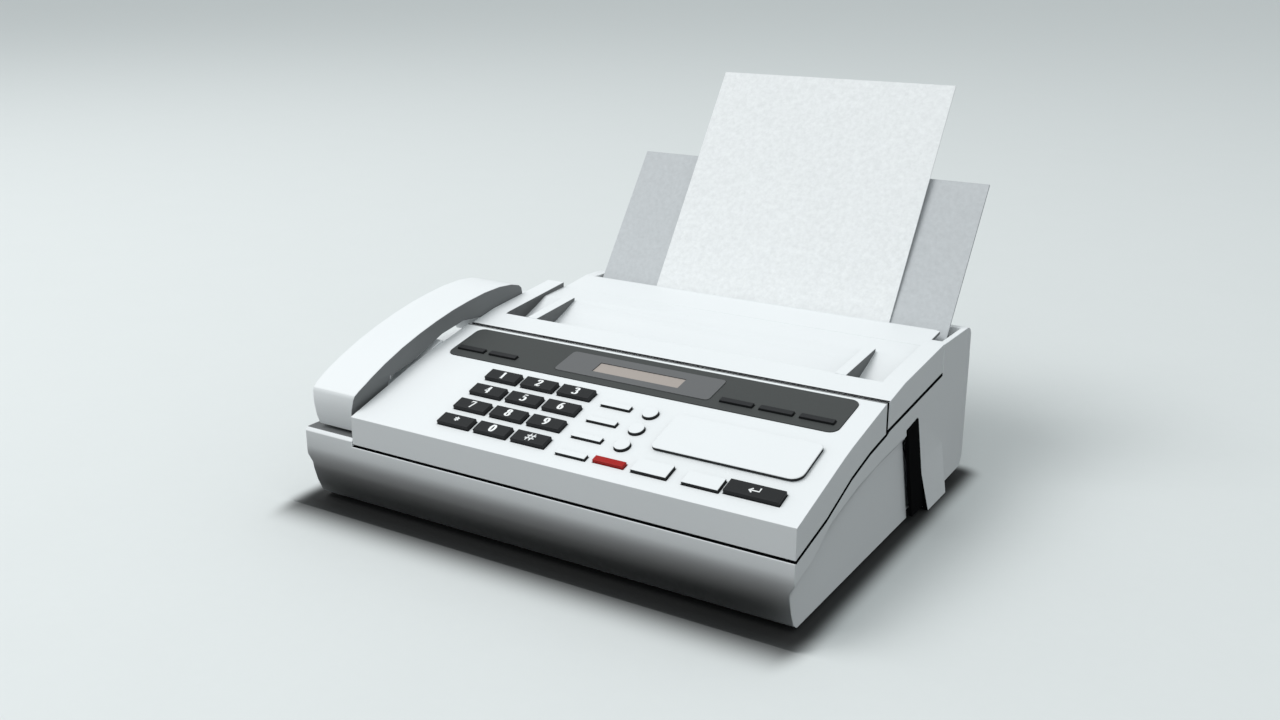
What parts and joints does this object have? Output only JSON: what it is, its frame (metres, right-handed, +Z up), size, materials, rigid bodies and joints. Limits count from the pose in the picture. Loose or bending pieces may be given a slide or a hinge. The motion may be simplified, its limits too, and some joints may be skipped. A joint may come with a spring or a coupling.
{
  "type": "fax machine",
  "caption": "Desktop fax machine with a cradled handset, hinged keypad panel and lid, document guides and an upright paper feed with its support plate.",
  "frame": {"origin": "middle of the whole object's footprint, on the surface that the feet stand on", "axes": "+X to the user's right, +Y to the back, +Z up"},
  "size_m": [0.409, 0.4048, 0.2897],
  "materials": {
    "white": "fine textured white casing plastic",
    "grey": "satin grey plastic",
    "black": "satin black plastic",
    "strip": "matt charcoal trim",
    "window": "smoked glossy bezel",
    "screen": "unlit liquid crystal display",
    "red": "red key",
    "rubber": "matt rubber",
    "board": "green circuit board with solder mask",
    "steel": "plated steel",
    "brass": "turned brass",
    "paper": "uncoated white paper",
    "support": "pale grey sheet plastic"
  },
  "bodies": {
    "case": {"lower_case": "white", "rear_cover": "white", "foot_front_left": "rubber", "foot_front_right": "rubber", "foot_rear_left": "rubber", "foot_rear_right": "rubber", "thermal_head": "steel", "feed_motor": "steel", "main_board": "board", "power_socket": "black", "line_socket": "black"},
    "handset": {"handset_upper_shell": "white", "handset_lower_shell": "grey", "handset_receiver": "black", "handset_microphone": "black"},
    "panel": {"panel_shell": "white", "display_strip": "strip", "display_window": "window", "lcd_module": "screen", "panel_board": "board", "image_sensor": "black"},
    "lid": {"lid_shell": "white"},
    "directory": {"directory_cover": "white"},
    "left_guide": {"guide_left": "white"},
    "right_guide": {"guide_right": "white"},
    "paper": {"recording_paper": "paper"},
    "support": {"paper_support": "support"},
    "hook": {"hook_plunger": "grey"},
    "platen": {"platen_roller": "rubber"},
    "motor_pinion": {"motor_gear": "brass"},
    "document_feed": {"document_roller": "rubber"},
    "film_roll": {"film_supply_roll": "black"},
    "key_1_button": {"key_1": "black"},
    "key_2_button": {"key_2": "black"},
    "key_3_button": {"key_3": "black"},
    "key_4_button": {"key_4": "black"},
    "key_5_button": {"key_5": "black"},
    "key_6_button": {"key_6": "black"},
    "key_7_button": {"key_7": "black"},
    "key_8_button": {"key_8": "black"},
    "key_9_button": {"key_9": "black"},
    "key_star_button": {"key_star": "black"},
    "key_0_button": {"key_0": "black"},
    "key_hash_button": {"key_hash": "black"},
    "function_key_1_button": {"function_key_1": "white"},
    "function_key_2_button": {"function_key_2": "white"},
    "function_key_3_button": {"function_key_3": "white"},
    "function_key_4_button": {"function_key_4": "white"},
    "round_key_1_button": {"round_key_1": "white"},
    "round_key_2_button": {"round_key_2": "white"},
    "round_key_3_button": {"round_key_3": "white"},
    "stop_key_button": {"stop_key": "red"},
    "menu_key_button": {"menu_key": "white"},
    "copy_key_button": {"copy_key": "white"},
    "start_key_button": {"start_key": "black"},
    "display_key_1_button": {"display_key_1": "black"},
    "display_key_2_button": {"display_key_2": "black"},
    "display_key_3_button": {"display_key_3": "black"},
    "display_key_4_button": {"display_key_4": "black"},
    "display_key_5_button": {"display_key_5": "black"}
  },
  "joints": [
    {"name": "handset_lift", "type": "slide", "parent": "case", "child": "handset", "axis": [0, 0, 1], "range_m": [0, 0.12]},
    {"name": "panel_hinge", "type": "hinge", "parent": "case", "child": "panel", "pos_m": [0, -0.0643, 0.111], "axis": [-1, 0, 0], "range_deg": [0, 35]},
    {"name": "lid_hinge", "type": "hinge", "parent": "case", "child": "lid", "pos_m": [0, 0.0777, 0.1219], "axis": [-1, 0, 0], "range_deg": [0, 60]},
    {"name": "directory_hinge", "type": "hinge", "parent": "panel", "child": "directory", "pos_m": [0.13075, -0.12976, 0.09876], "axis": [-1, 0, 0], "range_deg": [0, 110]},
    {"name": "guide_left_slide", "type": "slide", "parent": "lid", "child": "left_guide", "axis": [1, 0, 0], "range_m": [0, 0.05]},
    {"name": "guide_right_slide", "type": "slide", "parent": "lid", "child": "right_guide", "axis": [1, 0, 0], "range_m": [-0.05, 0]},
    {"name": "paper_slide", "type": "slide", "parent": "case", "child": "paper", "axis": [0, 0.5736, 0.8191], "range_m": [0, 0.09]},
    {"name": "support_slide", "type": "slide", "parent": "case", "child": "support", "axis": [0, 0.5948, 0.8039], "range_m": [0, 0.06]},
    {"name": "hook_slide", "type": "slide", "parent": "case", "child": "hook", "axis": [0, 0, 1], "range_m": [0, 0.0036]},
    {"name": "platen_spin", "type": "hinge", "parent": "case", "child": "platen", "pos_m": [0.01, 0.0527, 0.074], "axis": [1, 0, 0], "continuous": true},
    {"name": "motor_spin", "type": "hinge", "parent": "case", "child": "motor_pinion", "pos_m": [0.136, 0.04334, 0.05393], "axis": [1, 0, 0], "continuous": true},
    {"name": "document_spin", "type": "hinge", "parent": "case", "child": "document_feed", "pos_m": [0.026, -0.0423, 0.0904], "axis": [1, 0, 0], "continuous": true},
    {"name": "film_spin", "type": "hinge", "parent": "case", "child": "film_roll", "pos_m": [0.01, 0.0027, 0.058], "axis": [1, 0, 0], "continuous": true},
    {"name": "key_1_press", "type": "slide", "parent": "panel", "child": "key_1_button", "axis": [0, -0.2883, 0.9576], "range_m": [-0.0015, 0], "stiffness_N_per_m": 200, "springref_m": 0.001},
    {"name": "key_2_press", "type": "slide", "parent": "panel", "child": "key_2_button", "axis": [0, -0.2883, 0.9576], "range_m": [-0.0015, 0], "stiffness_N_per_m": 200, "springref_m": 0.001},
    {"name": "key_3_press", "type": "slide", "parent": "panel", "child": "key_3_button", "axis": [0, -0.2883, 0.9576], "range_m": [-0.0015, 0], "stiffness_N_per_m": 200, "springref_m": 0.001},
    {"name": "key_4_press", "type": "slide", "parent": "panel", "child": "key_4_button", "axis": [0, -0.2883, 0.9576], "range_m": [-0.0015, 0], "stiffness_N_per_m": 200, "springref_m": 0.001},
    {"name": "key_5_press", "type": "slide", "parent": "panel", "child": "key_5_button", "axis": [0, -0.2883, 0.9576], "range_m": [-0.0015, 0], "stiffness_N_per_m": 200, "springref_m": 0.001},
    {"name": "key_6_press", "type": "slide", "parent": "panel", "child": "key_6_button", "axis": [0, -0.2883, 0.9576], "range_m": [-0.0015, 0], "stiffness_N_per_m": 200, "springref_m": 0.001},
    {"name": "key_7_press", "type": "slide", "parent": "panel", "child": "key_7_button", "axis": [0, -0.2883, 0.9576], "range_m": [-0.0015, 0], "stiffness_N_per_m": 200, "springref_m": 0.001},
    {"name": "key_8_press", "type": "slide", "parent": "panel", "child": "key_8_button", "axis": [0, -0.2883, 0.9576], "range_m": [-0.0015, 0], "stiffness_N_per_m": 200, "springref_m": 0.001},
    {"name": "key_9_press", "type": "slide", "parent": "panel", "child": "key_9_button", "axis": [0, -0.2883, 0.9576], "range_m": [-0.0015, 0], "stiffness_N_per_m": 200, "springref_m": 0.001},
    {"name": "key_star_press", "type": "slide", "parent": "panel", "child": "key_star_button", "axis": [0, -0.2883, 0.9576], "range_m": [-0.0015, 0], "stiffness_N_per_m": 200, "springref_m": 0.001},
    {"name": "key_0_press", "type": "slide", "parent": "panel", "child": "key_0_button", "axis": [0, -0.2883, 0.9576], "range_m": [-0.0015, 0], "stiffness_N_per_m": 200, "springref_m": 0.001},
    {"name": "key_hash_press", "type": "slide", "parent": "panel", "child": "key_hash_button", "axis": [0, -0.2883, 0.9576], "range_m": [-0.0015, 0], "stiffness_N_per_m": 200, "springref_m": 0.001},
    {"name": "function_key_1_press", "type": "slide", "parent": "panel", "child": "function_key_1_button", "axis": [0, -0.2883, 0.9576], "range_m": [-0.0015, 0], "stiffness_N_per_m": 200, "springref_m": 0.001},
    {"name": "function_key_2_press", "type": "slide", "parent": "panel", "child": "function_key_2_button", "axis": [0, -0.2883, 0.9576], "range_m": [-0.0015, 0], "stiffness_N_per_m": 200, "springref_m": 0.001},
    {"name": "function_key_3_press", "type": "slide", "parent": "panel", "child": "function_key_3_button", "axis": [0, -0.2883, 0.9576], "range_m": [-0.0015, 0], "stiffness_N_per_m": 200, "springref_m": 0.001},
    {"name": "function_key_4_press", "type": "slide", "parent": "panel", "child": "function_key_4_button", "axis": [0, -0.2883, 0.9576], "range_m": [-0.0015, 0], "stiffness_N_per_m": 200, "springref_m": 0.001},
    {"name": "round_key_1_press", "type": "slide", "parent": "panel", "child": "round_key_1_button", "axis": [0, -0.2883, 0.9576], "range_m": [-0.0015, 0], "stiffness_N_per_m": 200, "springref_m": 0.001},
    {"name": "round_key_2_press", "type": "slide", "parent": "panel", "child": "round_key_2_button", "axis": [0, -0.2883, 0.9576], "range_m": [-0.0015, 0], "stiffness_N_per_m": 200, "springref_m": 0.001},
    {"name": "round_key_3_press", "type": "slide", "parent": "panel", "child": "round_key_3_button", "axis": [0, -0.2883, 0.9576], "range_m": [-0.0015, 0], "stiffness_N_per_m": 200, "springref_m": 0.001},
    {"name": "stop_key_press", "type": "slide", "parent": "panel", "child": "stop_key_button", "axis": [0, -0.2883, 0.9576], "range_m": [-0.0015, 0], "stiffness_N_per_m": 200, "springref_m": 0.001},
    {"name": "menu_key_press", "type": "slide", "parent": "panel", "child": "menu_key_button", "axis": [0, -0.2883, 0.9576], "range_m": [-0.0015, 0], "stiffness_N_per_m": 200, "springref_m": 0.001},
    {"name": "copy_key_press", "type": "slide", "parent": "panel", "child": "copy_key_button", "axis": [0, -0.2883, 0.9576], "range_m": [-0.0015, 0], "stiffness_N_per_m": 200, "springref_m": 0.001},
    {"name": "start_key_press", "type": "slide", "parent": "panel", "child": "start_key_button", "axis": [0, -0.2883, 0.9576], "range_m": [-0.0015, 0], "stiffness_N_per_m": 200, "springref_m": 0.001},
    {"name": "display_key_1_press", "type": "slide", "parent": "panel", "child": "display_key_1_button", "axis": [0, -0.2043, 0.9789], "range_m": [-0.0015, 0], "stiffness_N_per_m": 200, "springref_m": 0.001},
    {"name": "display_key_2_press", "type": "slide", "parent": "panel", "child": "display_key_2_button", "axis": [0, -0.2043, 0.9789], "range_m": [-0.0015, 0], "stiffness_N_per_m": 200, "springref_m": 0.001},
    {"name": "display_key_3_press", "type": "slide", "parent": "panel", "child": "display_key_3_button", "axis": [0, -0.2043, 0.9789], "range_m": [-0.0015, 0], "stiffness_N_per_m": 200, "springref_m": 0.001},
    {"name": "display_key_4_press", "type": "slide", "parent": "panel", "child": "display_key_4_button", "axis": [0, -0.2043, 0.9789], "range_m": [-0.0015, 0], "stiffness_N_per_m": 200, "springref_m": 0.001},
    {"name": "display_key_5_press", "type": "slide", "parent": "panel", "child": "display_key_5_button", "axis": [0, -0.2043, 0.9789], "range_m": [-0.0015, 0], "stiffness_N_per_m": 200, "springref_m": 0.001}
  ],
  "couplings": [
    {"joint": "guide_right_slide", "follows": "guide_left_slide", "ratio": -1},
    {"joint": "hook_slide", "follows": "handset_lift", "ratio": 0.03},
    {"joint": "motor_spin", "follows": "platen_spin", "ratio": -2.6667}
  ]
}
